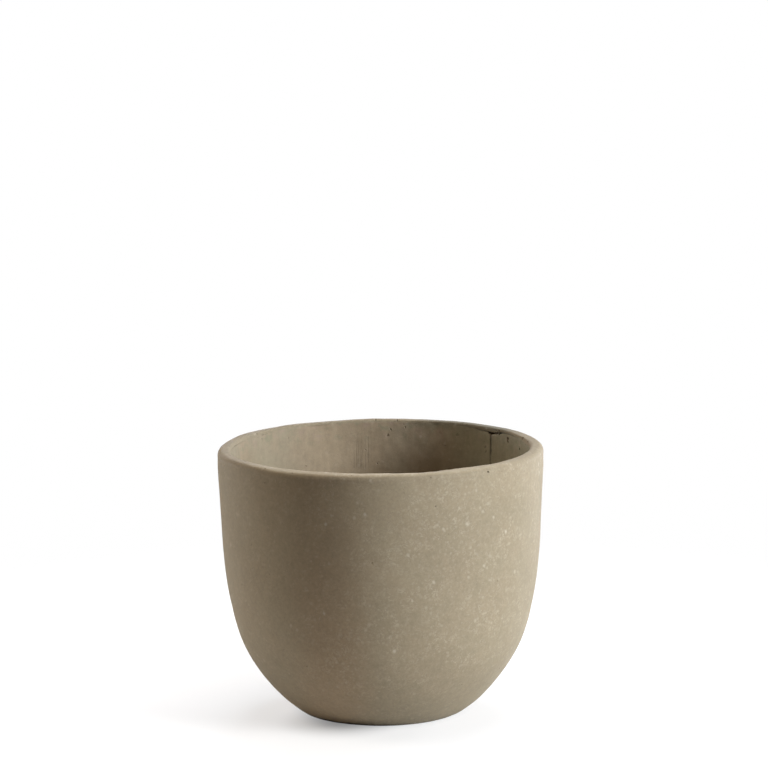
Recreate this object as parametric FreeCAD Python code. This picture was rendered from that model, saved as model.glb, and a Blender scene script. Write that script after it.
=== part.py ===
import FreeCAD, Part
import math
import os

# Concrete planter: a deep bowl-shaped pot, laid up by hand in layers.
# Frame: +Z up, origin on the floor under the pot's centre. Millimetres.
# The seam of the two inner coats runs through the axis at SEAM_DEG.

V = FreeCAD.Vector

# ---------------------------------------------------------------- sizes
HEIGHT = 320.0            # floor to the top of the rim
UNDERSIDE = 0.6           # height of the underside above the floor
PAD_POCKET = 2.0          # depth of the pockets that hold the pads
WALL = 17.0               # whole wall thickness
BASE_T = 15.0             # whole base thickness, without the screed
FACE_T = 8.0              # outer face coat
BOND = 0.2                # bond line between coats
SCRIM_T = 1.0             # glass-fibre scrim
RIM_R_OUT = 7.0           # rounding of the rim, outside
RIM_R_IN = 3.5            # rounding of the rim, inside
RIM_CAP = 4.8             # depth of the rim that the face coat makes alone
SCREED_TOP = 20.0         # inside floor at the wall
SCREED_DISH = 18.5        # inside floor at the drain
DISH_R_OUT = 90.0         # where the floor starts to fall
DISH_R_IN = 24.0          # flat seat around the drain
DRAIN_R_TOP = 13.0        # drain hole radius at the floor of the pot
DRAIN_R_BOTTOM = 12.0     # drain hole radius at the underside
PLUG_GAP = 0.15           # air around the plug in the hole
PLUG_FLANGE_R = 20.0
PLUG_FLANGE_T = 3.0
PLUG_BOTTOM = 4.5         # height of the plug's lower end
TAB_TOP = 36.0            # height of the plug's finger tab
PAD_R = 13.0
PAD_POCKET_R = 13.3
PAD_CIRCLE = 78.0         # distance of each pad from the axis
SEAM_DEG = 40.15          # direction of the seam of the inner coats
SEAM_GAP_DEG = 0.42       # open seam, as an angle
BASE_EDGE_R = 12.0        # rounding of the edge under the pot

# outside of the pot: height above the floor, radius
OUTER = [
    (0.0, 99.1), (9.6, 111.9), (25.6, 129.0), (51.2, 149.6), (83.2, 167.8),
    (121.6, 179.8), (166.4, 187.5), (217.6, 191.5), (268.8, 193.9), (307.2, 195.9),
    (322.0, 196.65),
]


def spline_second(xs, ys):
    # second derivatives of the natural cubic spline through the points
    n = len(xs)
    a = [0.0] * n
    b = [1.0] * n
    c = [0.0] * n
    d = [0.0] * n
    for i in range(1, n - 1):
        h0 = xs[i] - xs[i - 1]
        h1 = xs[i + 1] - xs[i]
        a[i] = h0
        b[i] = 2.0 * (h0 + h1)
        c[i] = h1
        d[i] = 6.0 * ((ys[i + 1] - ys[i]) / h1 - (ys[i] - ys[i - 1]) / h0)
    for i in range(1, n):
        w = a[i] / b[i - 1]
        b[i] -= w * c[i - 1]
        d[i] -= w * d[i - 1]
    m = [0.0] * n
    m[-1] = d[-1] / b[-1]
    for i in range(n - 2, -1, -1):
        m[i] = (d[i] - c[i] * m[i + 1]) / b[i]
    return m


ZS = [p[0] for p in OUTER]
RS = [p[1] for p in OUTER]
MS = spline_second(ZS, RS)


def outer_r(z):
    # radius and slope dr/dz of the outside at height z
    i = 0
    while i < len(ZS) - 2 and z > ZS[i + 1]:
        i += 1
    h = ZS[i + 1] - ZS[i]
    p = (ZS[i + 1] - z) / h
    q = (z - ZS[i]) / h
    r = p * RS[i] + q * RS[i + 1] + ((p ** 3 - p) * MS[i] + (q ** 3 - q) * MS[i + 1]) * h * h / 6.0
    s = (RS[i + 1] - RS[i]) / h + (-(3 * p * p - 1) * MS[i] + (3 * q * q - 1) * MS[i + 1]) * h / 6.0
    return r, s


def offset_point(z, t):
    # point of the outside at height z, moved t into the wall
    r, s = outer_r(z)
    n = math.hypot(1.0, s)
    return r - t / n, z + t * s / n


def offset_at(height, t):
    # point of the curve t inside the outside, at the wanted height
    lo, hi = 0.0, 322.0
    for _ in range(60):
        mid = 0.5 * (lo + hi)
        if offset_point(mid, t)[1] < height:
            lo = mid
        else:
            hi = mid
    return 0.5 * (lo + hi)


def curve(t, z_low, z_high, count=22):
    # edge along the curve t inside the outside, between two heights
    a = offset_at(z_low, t)
    b = offset_at(z_high, t)
    pts = []
    for i in range(count):
        k = i / (count - 1.0)
        # closer together low down, where the bowl turns
        z = a + (b - a) * k ** 1.6
        r, h = offset_point(z, t)
        pts.append(V(r, 0, h))
    pts[0].z = z_low
    pts[-1].z = z_high
    c = Part.BSplineCurve()
    c.interpolate(pts)
    return c.toShape(), pts[0], pts[-1]


def line(a, b):
    return Part.LineSegment(a, b).toShape()


def arc(a, m, b):
    return Part.Arc(a, m, b).toShape()


def turn(edges, start_deg=0.0, sweep_deg=360.0):
    wire = Part.Wire(Part.__sortEdges__(edges))
    face = Part.Face(wire)
    if start_deg:
        face.rotate(V(0, 0, 0), V(0, 0, 1), start_deg)
    solid = face.revolve(V(0, 0, 0), V(0, 0, 1), sweep_deg)
    if solid.ShapeType != "Solid":
        solid = solid.Solids[0]
    if solid.Volume < 0:
        solid.reverse()
    return solid


def drain_r(z):
    k = (z - UNDERSIDE) / (SCREED_DISH - UNDERSIDE)
    return DRAIN_R_BOTTOM + k * (DRAIN_R_TOP - DRAIN_R_BOTTOM)


def pad_places():
    out = []
    for i in range(4):
        a = math.radians(45.0 + 90.0 * i)
        out.append((PAD_CIRCLE * math.cos(a), PAD_CIRCLE * math.sin(a)))
    return out


# ---------------------------------------------------------------- outer shell
def make_outer_shell():
    z0 = UNDERSIDE
    z_floor = z0 + FACE_T
    z_cap = HEIGHT - RIM_CAP

    # rim, outside rounding: touches the wall and the top
    lo, hi = HEIGHT - 3 * RIM_R_OUT, HEIGHT
    for _ in range(60):
        mid = 0.5 * (lo + hi)
        r, s = outer_r(mid)
        if mid + RIM_R_OUT * s / math.hypot(1, s) < HEIGHT - RIM_R_OUT:
            lo = mid
        else:
            hi = mid
    z_p = 0.5 * (lo + hi)
    r_p, s_p = outer_r(z_p)
    n = math.hypot(1, s_p)
    co = V(r_p - RIM_R_OUT / n, 0, HEIGHT - RIM_R_OUT)
    p_out = V(r_p, 0, z_p)
    p_top_out = V(co.x, 0, HEIGHT)
    m_out = V(co.x + RIM_R_OUT * math.sin(math.pi / 4), 0, co.z + RIM_R_OUT * math.cos(math.pi / 4))

    # rim, inside rounding
    q = offset_at(HEIGHT - RIM_R_IN, WALL)
    r_q, h_q = offset_point(q, WALL)
    _, s_q = outer_r(min(q, 320.0))
    nq = math.hypot(1, s_q)
    ci = V(r_q + RIM_R_IN / nq, 0, HEIGHT - RIM_R_IN)
    p_in = V(ci.x - RIM_R_IN / nq, 0, ci.z + RIM_R_IN * s_q / nq)
    p_top_in = V(ci.x, 0, HEIGHT)
    m_in = V(ci.x - RIM_R_IN * math.sin(math.pi / 4), 0, ci.z + RIM_R_IN * math.cos(math.pi / 4))
    r_cap, _ = offset_point(offset_at(z_cap, WALL), WALL)
    p_cap = V(r_cap, 0, z_cap)

    # edge under the pot: rounding between the underside and the bowl
    lo, hi = z0, z0 + 15.0
    for _ in range(60):
        mid = 0.5 * (lo + hi)
        r, s = outer_r(mid)
        if mid + BASE_EDGE_R * s / math.hypot(1, s) < z0 + BASE_EDGE_R:
            lo = mid
        else:
            hi = mid
    z_b = 0.5 * (lo + hi)
    r_b, s_b = outer_r(z_b)
    nb = math.hypot(1, s_b)
    cb = V(r_b - BASE_EDGE_R / nb, 0, z0 + BASE_EDGE_R)
    p_b_wall = V(r_b, 0, z_b)
    p_b_base = V(cb.x, 0, z0)
    # middle of the rounding
    a0 = -math.pi / 2
    a1 = math.atan2(z_b - cb.z, r_b - cb.x)
    am = 0.5 * (a0 + a1)
    m_b = V(cb.x + BASE_EDGE_R * math.cos(am), 0, cb.z + BASE_EDGE_R * math.sin(am))

    # outside
    pts = []
    for i in range(26):
        k = i / 25.0
        z = z_b + (z_p - z_b) * k ** 1.6
        pts.append(V(outer_r(z)[0], 0, z))
    c = Part.BSplineCurve()
    c.interpolate(pts)
    e_out = c.toShape()

    # inside of the face coat
    e_in, a_in, b_in = curve(FACE_T, z_floor, z_cap)

    h0 = V(drain_r(z0), 0, z0)
    h1 = V(drain_r(z_floor), 0, z_floor)
    edges = [
        line(h0, p_b_base), arc(p_b_base, m_b, p_b_wall), e_out,
        arc(p_out, m_out, p_top_out), line(p_top_out, p_top_in), arc(p_top_in, m_in, p_in),
        line(p_in, p_cap), line(p_cap, b_in), e_in, line(a_in, h1), line(h1, h0),
    ]
    shell = turn(edges)
    for x, y in pad_places():
        pocket = Part.makeCylinder(PAD_POCKET_R, PAD_POCKET + 1.0, V(x, y, z0 - 1.0))
        shell = shell.cut(pocket)
    return shell.Solids[0]


# ---------------------------------------------------------------- glass-fibre scrim
def make_wall_mesh():
    t0 = FACE_T + BOND
    t1 = t0 + SCRIM_T
    z_low = UNDERSIDE + FACE_T + 2 * BOND + SCRIM_T
    z_high = HEIGHT - RIM_CAP - BOND
    e0, a0, b0 = curve(t0, z_low, z_high)
    e1, a1, b1 = curve(t1, z_low, z_high)
    return turn([e0, line(b0, b1), e1, line(a1, a0)])


def make_base_mesh():
    z = UNDERSIDE + FACE_T + BOND
    r_edge = offset_point(offset_at(z, FACE_T + BOND), FACE_T + BOND)[0] - 1.0
    r0 = drain_r(z)
    r1 = drain_r(z + SCRIM_T)
    a, b = V(r0, 0, z), V(r_edge, 0, z)
    c, d = V(r_edge, 0, z + SCRIM_T), V(r1, 0, z + SCRIM_T)
    return turn([line(a, b), line(b, c), line(c, d), line(d, a)])


# ---------------------------------------------------------------- inner coats
def backing(start_deg):
    t0 = FACE_T + 2 * BOND + SCRIM_T
    z0 = UNDERSIDE + FACE_T + 2 * BOND + SCRIM_T
    z1 = UNDERSIDE + BASE_T
    z_high = HEIGHT - RIM_CAP - BOND
    e0, a0, b0 = curve(t0, z0, z_high)
    e1, a1, b1 = curve(WALL, z1, z_high)
    h0 = V(drain_r(z0), 0, z0)
    h1 = V(drain_r(z1), 0, z1)
    edges = [line(h0, a0), e0, line(b0, b1), e1, line(a1, h1), line(h1, h0)]
    return turn(edges, start_deg + 0.5 * SEAM_GAP_DEG, 180.0 - SEAM_GAP_DEG)


# ---------------------------------------------------------------- floor of the pot
def make_base_screed():
    z0 = UNDERSIDE + BASE_T + BOND
    e, a, b = curve(WALL + BOND, z0, SCREED_TOP, 8)
    h0 = V(drain_r(z0), 0, z0)
    h1 = V(drain_r(SCREED_DISH), 0, SCREED_DISH)
    p1 = V(DISH_R_IN, 0, SCREED_DISH)
    p2 = V(DISH_R_OUT, 0, SCREED_TOP)
    return turn([line(h0, a), e, line(b, p2), line(p2, p1), line(p1, h1), line(h1, h0)])


# ---------------------------------------------------------------- drain plug
def make_drain_plug():
    zf = SCREED_DISH + 0.1
    zt = zf + PLUG_FLANGE_T
    rb = drain_r(PLUG_BOTTOM) - PLUG_GAP
    rs = drain_r(zf) - PLUG_GAP
    o = V(0, 0, PLUG_BOTTOM)
    stem_end = V(rb - 2.0, 0, PLUG_BOTTOM)
    stem_low = V(rb + 0.1, 0, PLUG_BOTTOM + 2.0)
    stem_mid = V(rb - 0.55, 0, PLUG_BOTTOM + 0.6)
    stem_top = V(rs, 0, zf)
    f0 = V(PLUG_FLANGE_R - 1.0, 0, zf)
    f1 = V(PLUG_FLANGE_R, 0, zf + 1.0)
    fm = V(PLUG_FLANGE_R - 0.293, 0, zf + 0.293)
    f2 = V(PLUG_FLANGE_R, 0, zt - 1.4)
    f3 = V(PLUG_FLANGE_R - 1.4, 0, zt)
    fn = V(PLUG_FLANGE_R - 0.41, 0, zt - 0.41)
    top = V(0, 0, zt)
    body = turn([
        line(o, stem_end), arc(stem_end, stem_mid, stem_low), line(stem_low, stem_top),
        line(stem_top, f0), arc(f0, fm, f1), line(f1, f2), arc(f2, fn, f3), line(f3, top), line(top, o),
    ])
    # finger tab: an upright web with a thick bead along its top
    tab_l = 24.0
    web = Part.makeBox(tab_l, 5.0, TAB_TOP - 4.0 - (zt - 1.0), V(-tab_l / 2, -2.5, zt - 1.0))
    web = web.makeFillet(1.6, [e for e in web.Edges if abs(e.Vertexes[0].Z - e.Vertexes[1].Z) > 1.0])
    bead = Part.makeCylinder(4.0, tab_l, V(-tab_l / 2, 0, TAB_TOP - 4.0), V(1, 0, 0))
    bead = bead.makeFillet(1.5, bead.Edges[:1] + bead.Edges[2:3])
    plug = body.fuse(web).fuse(bead).removeSplitter()
    return plug.Solids[0]


# ---------------------------------------------------------------- floor pads
def make_floor_pads():
    pads = []
    for x, y in pad_places():
        pad = Part.makeCylinder(PAD_R, UNDERSIDE + PAD_POCKET, V(x, y, 0))
        low = [e for e in pad.Edges if len(e.Vertexes) == 1 and abs(e.Vertexes[0].Z) < 1e-6]
        pad = pad.makeFillet(0.5, low)
        pads.append(pad)
    return Part.makeCompound(pads)


def main():
    os.makedirs("parts", exist_ok=True)
    parts = {
        "outer_shell": make_outer_shell(),
        "wall_mesh": make_wall_mesh(),
        "base_mesh": make_base_mesh(),
        "left_backing": backing(SEAM_DEG),
        "right_backing": backing(SEAM_DEG + 180.0),
        "base_screed": make_base_screed(),
        "drain_plug": make_drain_plug(),
        "floor_pads": make_floor_pads(),
    }
    for name, shape in parts.items():
        shape.exportStep("parts/%s.step" % name)
        bb = shape.BoundBox
        print("%-14s valid=%s solids=%d volume=%.1f cm3  x %.2f..%.2f  z %.2f..%.2f" % (
            name, shape.isValid(), len(shape.Solids), shape.Volume / 1000.0, bb.XMin, bb.XMax, bb.ZMin, bb.ZMax))


main()
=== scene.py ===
import math

import bmesh
import bpy
import numpy as np
from mathutils import Matrix, Vector
from mathutils.kdtree import KDTree


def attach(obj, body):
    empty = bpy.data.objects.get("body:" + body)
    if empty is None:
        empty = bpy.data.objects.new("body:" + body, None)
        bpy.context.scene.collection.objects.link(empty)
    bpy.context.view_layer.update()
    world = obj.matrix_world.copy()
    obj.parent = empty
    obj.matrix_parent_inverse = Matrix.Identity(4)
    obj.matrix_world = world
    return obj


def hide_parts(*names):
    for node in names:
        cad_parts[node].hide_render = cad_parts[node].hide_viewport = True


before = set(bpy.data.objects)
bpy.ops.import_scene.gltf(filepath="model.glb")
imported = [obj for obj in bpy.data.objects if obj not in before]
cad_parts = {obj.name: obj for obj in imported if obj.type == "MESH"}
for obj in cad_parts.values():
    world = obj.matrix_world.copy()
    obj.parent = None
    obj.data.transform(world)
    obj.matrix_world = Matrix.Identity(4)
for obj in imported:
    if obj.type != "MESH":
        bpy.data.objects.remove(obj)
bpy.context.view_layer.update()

MM = 0.001
scene = bpy.context.scene

# ------------------------------------------------------------------ sizes, in millimetres, as the CAD has them
HEIGHT, UNDERSIDE, WALL, BASE_T, FACE_T = 320.0, 0.6, 17.0, 15.0, 8.0
BOND, SCRIM_T = 0.2, 1.0
RIM_OUT_W, RIM_OUT_H, RIM_CAP = 7.0, 7.0, 4.8
RIM_IN_SHARP, RIM_IN_ROUND = 1.9, 4.4
SCREED_TOP, SCREED_DISH, DISH_R_OUT, DISH_R_IN = 20.0, 18.5, 90.0, 24.0
DRAIN_R_TOP, DRAIN_R_BOTTOM = 13.0, 12.0
PAD_R, PAD_POCKET, PAD_POCKET_R, PAD_CIRCLE = 13.0, 2.0, 13.3, 78.0
SEAM_DEG, SEAM_GAP_DEG = 40.15, 0.42
BASE_EDGE_R = 12.0
OUTER = np.array([
    (0.0, 99.1), (9.6, 111.9), (25.6, 129.0), (51.2, 149.6), (83.2, 167.8),
    (121.6, 179.8), (166.4, 187.5), (217.6, 191.5), (268.8, 193.9), (307.2, 195.9),
    (322.0, 196.65),
])


# ------------------------------------------------------------------ the pot's profile
def natural_spline(xs, ys):
    n = len(xs)
    A = np.eye(n)
    d = np.zeros(n)
    for i in range(1, n - 1):
        h0, h1 = xs[i] - xs[i - 1], xs[i + 1] - xs[i]
        A[i, i - 1:i + 2] = h0, 2 * (h0 + h1), h1
        d[i] = 6 * ((ys[i + 1] - ys[i]) / h1 - (ys[i] - ys[i - 1]) / h0)
    return np.linalg.solve(A, d)


ZS, RS = OUTER[:, 0], OUTER[:, 1]
MS = natural_spline(ZS, RS)


def outer_r(z):
    z = np.asarray(z, float)
    i = np.clip(np.searchsorted(ZS, z) - 1, 0, len(ZS) - 2)
    h = ZS[i + 1] - ZS[i]
    p, q = (ZS[i + 1] - z) / h, (z - ZS[i]) / h
    r = p * RS[i] + q * RS[i + 1] + ((p ** 3 - p) * MS[i] + (q ** 3 - q) * MS[i + 1]) * h * h / 6
    s = (RS[i + 1] - RS[i]) / h + (-(3 * p * p - 1) * MS[i] + (3 * q * q - 1) * MS[i + 1]) * h / 6
    return r, s


_FINE = np.linspace(0.0, 322.0, 6001)


def offset_curve(t, z_lo, z_hi, n=400):
    # points (radius, height) of the curve t inside the outside, from one height to another
    r, s = outer_r(_FINE)
    nn = np.hypot(1.0, s)
    rr, hh = r - t / nn, _FINE + t * s / nn
    z = np.linspace(z_lo, z_hi, n)
    return np.column_stack([np.interp(z, hh, rr), z])


def inner_r(z, t=WALL):
    return float(offset_curve(t, z, z, 1)[0, 0])


def drain_r(z):
    return DRAIN_R_BOTTOM + (z - UNDERSIDE) / (SCREED_DISH - UNDERSIDE) * (DRAIN_R_TOP - DRAIN_R_BOTTOM)


def arc_pts(cx, cz, rad, a0, a1, n=24):
    a = np.linspace(a0, a1, n)
    return np.column_stack([cx + rad * np.cos(a), cz + rad * np.sin(a)])


def resample(path, step):
    # even steps of about the given length along a path, or that many steps if negative, both ends kept
    seg = np.hypot(*np.diff(path, axis=0).T)
    s = np.concatenate([[0], np.cumsum(seg)])
    n = max(2, int(round(s[-1] / step)) + 1) if step > 0 else 1 - int(step)
    u = np.linspace(0, s[-1], n)
    return np.column_stack([np.interp(u, s, path[:, 0]), np.interp(u, s, path[:, 1])])


def chain(parts):
    # joins paths given as (points, step, name, share of the picture map) into one loop
    pts, tags, share = [], [], []
    for path, step, tag, w in parts:
        q = resample(np.asarray(path, float), step)[:-1]
        pts.append(q)
        tags += [tag] * len(q)
        share += [w] * len(q)
    return np.vstack(pts), np.array(tags), np.array(share)


def waves(seed, lo, hi, n=36, squeeze=(1.0, 1.0, 1.0)):
    # smooth random field with wavelengths between lo and hi millimetres and unit spread
    rng = np.random.default_rng(seed)
    d = rng.normal(size=(n, 3))
    d /= np.linalg.norm(d, axis=1)[:, None]
    k = d * (2 * np.pi / rng.uniform(lo, hi, n))[:, None] * np.array(squeeze)
    ph = rng.uniform(0, 2 * np.pi, n)

    def f(P):
        return np.cos(P @ k.T + ph).sum(1) * math.sqrt(2.0 / n)
    return f


def smooth01(a, b, x):
    t = np.clip((x - a) / (b - a), 0, 1)
    return t * t * (3 - 2 * t)


def bell(x, c, w):
    return np.exp(-((x - c) / w) ** 2)


def normals_of(loop):
    # outward normals of a loop that runs with the solid on its left
    t = np.roll(loop, -1, axis=0) - np.roll(loop, 1, axis=0)
    n = np.column_stack([t[:, 1], -t[:, 0]])
    return n / np.maximum(np.hypot(n[:, 0], n[:, 1]), 1e-9)[:, None]


def sweep(name, loop, share, angles, full, move):
    """Solid swept from a closed profile loop. move(P, N, ring, col) returns the moved points, in millimetres."""
    M, K = len(loop), len(angles)
    nrm = normals_of(loop)
    ca, sa = np.cos(angles), np.sin(angles)
    P = np.empty((K, M, 3))
    N = np.empty((K, M, 3))
    P[:, :, 0] = ca[:, None] * loop[None, :, 0]
    P[:, :, 1] = sa[:, None] * loop[None, :, 0]
    P[:, :, 2] = loop[None, :, 1]
    N[:, :, 0] = ca[:, None] * nrm[None, :, 0]
    N[:, :, 1] = sa[:, None] * nrm[None, :, 0]
    N[:, :, 2] = nrm[None, :, 1]
    ring = np.broadcast_to(np.arange(M)[None, :], (K, M)).ravel()
    col = np.broadcast_to(np.arange(K)[:, None], (K, M)).ravel()
    P = move(P.reshape(-1, 3), N.reshape(-1, 3), ring, col)
    seg = np.hypot(*(np.roll(loop, -1, axis=0) - loop).T) * share
    v = np.concatenate([[0], np.cumsum(seg)])
    v /= v[-1]
    cols = K if full else K - 1
    j = np.arange(cols)
    j2 = (j + 1) % K
    i = np.arange(M)
    i2 = (i + 1) % M
    a = (j[:, None] * M + i[None, :])
    b = (j2[:, None] * M + i[None, :])
    c = (j2[:, None] * M + i2[None, :])
    d = (j[:, None] * M + i2[None, :])
    quads = np.stack([a, b, c, d], -1).reshape(-1, 4)
    u0 = (angles - angles[0]) / (angles[-1] - angles[0] + (angles[1] - angles[0] if full else 0))
    u1 = np.append(u0[1:], 1.0)[:cols] if full else u0[1:]
    ua, ub = np.broadcast_to(u0[:cols, None], a.shape), np.broadcast_to(u1[:, None], a.shape)
    va, vb = np.broadcast_to(v[None, :-1], a.shape), np.broadcast_to(v[None, 1:], a.shape)
    uv = np.stack([np.stack([ua, va], -1), np.stack([ub, va], -1), np.stack([ub, vb], -1), np.stack([ua, vb], -1)], 2).reshape(-1, 2)
    faces = quads.tolist()
    uvs = uv
    if not full:
        first = list(range(M))[::-1]
        last = [(K - 1) * M + q for q in range(M)]
        faces += [first, last]
        lo, hi = loop.min(0), loop.max(0)
        flat = 0.001 + 0.03 * (loop - lo) / (hi - lo).max()
        uvs = np.vstack([uv, flat[::-1], flat])
    me = bpy.data.meshes.new(name)
    me.from_pydata((P * MM).tolist(), [], faces)
    layer = me.uv_layers.new(name="OFBake")
    layer.data.foreach_set("uv", np.ascontiguousarray(uvs, dtype=np.float32).ravel())
    me.validate()
    return me


def pit_mesh(me, pits, cuts=(1, 2)):
    """Opens small holes in a mesh. A pit is (centre, radius, depth, seed, dark), millimetres; it goes in against the
    surface.
    How dark its inside is, painted shade for a pit and the stain's own colour for a flat stain, goes into the mesh as
    the layer "pit_shade_and_stain"."""
    bm = bmesh.new()
    bm.from_mesh(me)
    dark = bm.verts.layers.float.new("pit_shade_and_stain")
    for step, cut in enumerate(cuts):
        bm.faces.ensure_lookup_table()
        kd = KDTree(len(bm.faces))
        for f in bm.faces:
            kd.insert(f.calc_center_median(), f.index)
        kd.balance()
        near = set()
        for c, a, dep, seed, pit_shade_and_stain in pits:
            reach = (2.0 * a + 2.4) if step == 0 else (1.45 * a + 0.9)
            for _, idx, _ in kd.find_range(Vector(c) * MM, reach * MM):
                near.add(idx)
        edges = set()
        for idx in near:
            edges.update(bm.faces[idx].edges)
        bmesh.ops.subdivide_edges(bm, edges=list(edges), cuts=cut, use_grid_fill=True)
        bm.faces.index_update()
    bm.normal_update()
    bm.verts.ensure_lookup_table()
    kd = KDTree(len(bm.verts))
    for v in bm.verts:
        kd.insert(v.co, v.index)
    kd.balance()
    shift = {}
    for c, a, dep, seed, pit_shade_and_stain in pits:
        rng = np.random.default_rng(seed)
        cc = Vector(c) * MM
        _, near_i, _ = kd.find(cc)
        nrm = bm.verts[near_i].normal.copy()
        t1 = nrm.orthogonal().normalized()
        t2 = nrm.cross(t1)
        ph = rng.uniform(0, 6.283, 4)
        am = rng.uniform(0.05, 0.22, 4)
        stretch = rng.uniform(0.75, 1.3)
        for co, idx, dist in kd.find_range(cc, 1.5 * a * MM):
            v = bm.verts[idx]
            if v.normal.dot(nrm) < 0.2:
                continue
            w = (co - cc) / MM
            x, y = w.dot(t1) * stretch, w.dot(t2) / stretch
            ang = math.atan2(y, x)
            edge = a * (1 + sum(am[q] * math.cos((q + 1) * ang + ph[q]) for q in range(4)) * 0.6)
            t = math.hypot(x, y) / edge
            if t < 1.12:
                k = 1 - min(1, max(0, (t - 0.45) / 0.6))
                k = k * k * (3 - 2 * k)
                shift.setdefault(idx, Vector((0, 0, 0)))
                shift[idx] = shift[idx] - nrm * (dep * k * MM)
                v[dark] = max(v[dark], pit_shade_and_stain * k)
    for idx, s in shift.items():
        bm.verts[idx].co += s
    bm.to_mesh(me)
    bm.free()


def finish_mesh(me, angle=40.0):
    bm = bmesh.new()
    bm.from_mesh(me)
    bmesh.ops.recalc_face_normals(bm, faces=bm.faces)
    bm.to_mesh(me)
    bm.free()
    me.shade_smooth()
    me.set_sharp_from_angle(angle=math.radians(angle))
    me.update()


def add(name, me, mat, body, slot, *replaced):
    o = bpy.data.objects.new(name, me)
    scene.collection.objects.link(o)
    me.materials.clear()
    me.materials.append(mat)
    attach(o, body)
    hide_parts(*replaced)
    return o


# ------------------------------------------------------------------ materials
def nodes_for(name):
    m = bpy.data.materials.new(name)
    m.use_nodes = True
    nt = m.node_tree
    nt.nodes.clear()
    out = nt.nodes.new("ShaderNodeOutputMaterial")
    bs = nt.nodes.new("ShaderNodeBsdfPrincipled")
    nt.links.new(bs.outputs[0], out.inputs[0])
    return m, nt, bs


class Net:
    """Short hand for building a node tree."""

    def __init__(self, nt):
        self.nt = nt
        self.co = self.mm()

    def put(self, sock, val):
        if isinstance(val, bpy.types.NodeSocket):
            self.nt.links.new(val, sock)
        else:
            sock.default_value = val

    def mm(self):
        tc = self.nt.nodes.new("ShaderNodeTexCoord")
        s = self.nt.nodes.new("ShaderNodeVectorMath")
        s.operation = "SCALE"
        self.put(s.inputs[0], tc.outputs["Object"])
        s.inputs["Scale"].default_value = 1000.0
        return s.outputs[0]

    def stretch(self, vec, x, y, z):
        s = self.nt.nodes.new("ShaderNodeVectorMath")
        s.operation = "MULTIPLY"
        self.put(s.inputs[0], vec)
        s.inputs[1].default_value = (x, y, z)
        return s.outputs[0]

    def noise(self, size, detail=3.0, rough=0.5, vec=None, distort=0.0):
        n = self.nt.nodes.new("ShaderNodeTexNoise")
        self.put(n.inputs["Vector"], vec or self.co)
        n.inputs["Scale"].default_value = 1.0 / size
        n.inputs["Detail"].default_value = detail
        n.inputs["Roughness"].default_value = rough
        n.inputs["Distortion"].default_value = distort
        return n

    def voronoi(self, size, vec=None, feature="F1"):
        n = self.nt.nodes.new("ShaderNodeTexVoronoi")
        n.feature = feature
        self.put(n.inputs["Vector"], vec or self.co)
        n.inputs["Scale"].default_value = 1.0 / size
        return n

    def math(self, op, a, b=0.0, c=0.0, clamp=False):
        n = self.nt.nodes.new("ShaderNodeMath")
        n.operation = op
        n.use_clamp = clamp
        self.put(n.inputs[0], a)
        self.put(n.inputs[1], b)
        self.put(n.inputs[2], c)
        return n.outputs[0]

    def remap(self, v, a, b, c=0.0, d=1.0, smooth=False):
        n = self.nt.nodes.new("ShaderNodeMapRange")
        n.interpolation_type = "SMOOTHSTEP" if smooth else "LINEAR"
        self.put(n.inputs[0], v)
        for k, q in zip((1, 2, 3, 4), (a, b, c, d)):
            self.put(n.inputs[k], q)
        return n.outputs[0]

    def mix(self, f, a, b, kind="MIX"):
        n = self.nt.nodes.new("ShaderNodeMix")
        n.data_type = "RGBA"
        n.blend_type = kind
        self.put(n.inputs[0], f)
        self.put(n.inputs[6], a if isinstance(a, bpy.types.NodeSocket) else (*a, 1.0))
        self.put(n.inputs[7], b if isinstance(b, bpy.types.NodeSocket) else (*b, 1.0))
        return n.outputs[2]

    def parts(self, c):
        n = self.nt.nodes.new("ShaderNodeSeparateColor")
        self.put(n.inputs[0], c)
        return n.outputs

    def bump(self, h, strength, dist_mm, normal=None):
        n = self.nt.nodes.new("ShaderNodeBump")
        n.inputs["Strength"].default_value = strength
        n.inputs["Distance"].default_value = dist_mm * MM
        self.put(n.inputs["Height"], h)
        if normal is not None:
            self.put(n.inputs["Normal"], normal)
        return n.outputs[0]

    def chips(self, size, small, large, keep, soft=0.05, jitter=1.2, seed=0.0, turn=(0.0, 0.0, 0.0), long=1.0):
        """Mask of scattered chips: one cell in each size millimetres, a share of the cells kept, drawn out along one direction."""
        wob = self.noise(size * 0.45, 2.0)
        off = self.nt.nodes.new("ShaderNodeVectorMath")
        off.operation = "SUBTRACT"
        self.put(off.inputs[0], wob.outputs["Color"])
        off.inputs[1].default_value = (0.5, 0.5, 0.5)
        mad = self.nt.nodes.new("ShaderNodeVectorMath")
        mad.operation = "MULTIPLY_ADD"
        self.put(mad.inputs[0], off.outputs[0])
        mad.inputs[1].default_value = (jitter, jitter, jitter)
        self.put(mad.inputs[2], self.co)
        mp = self.nt.nodes.new("ShaderNodeMapping")
        mp.vector_type = "TEXTURE"
        self.put(mp.inputs["Vector"], mad.outputs[0])
        mp.inputs["Location"].default_value = (seed * 37.0, seed * 11.0, seed * 23.0)
        mp.inputs["Rotation"].default_value = turn
        mp.inputs["Scale"].default_value = (1.0, 1.0, long)
        vo = self.voronoi(size, mp.outputs[0])
        rnd = self.parts(vo.outputs["Color"])
        rad = self.remap(rnd[0], 0.0, 1.0, small / size, large / size)
        on = self.math("LESS_THAN", rnd[1], keep)
        d = self.math("SUBTRACT", rad, vo.outputs["Distance"])
        m = self.remap(d, -soft, soft, 0.0, 1.0, True)
        return self.math("MULTIPLY", m, on), rnd[2]


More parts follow.
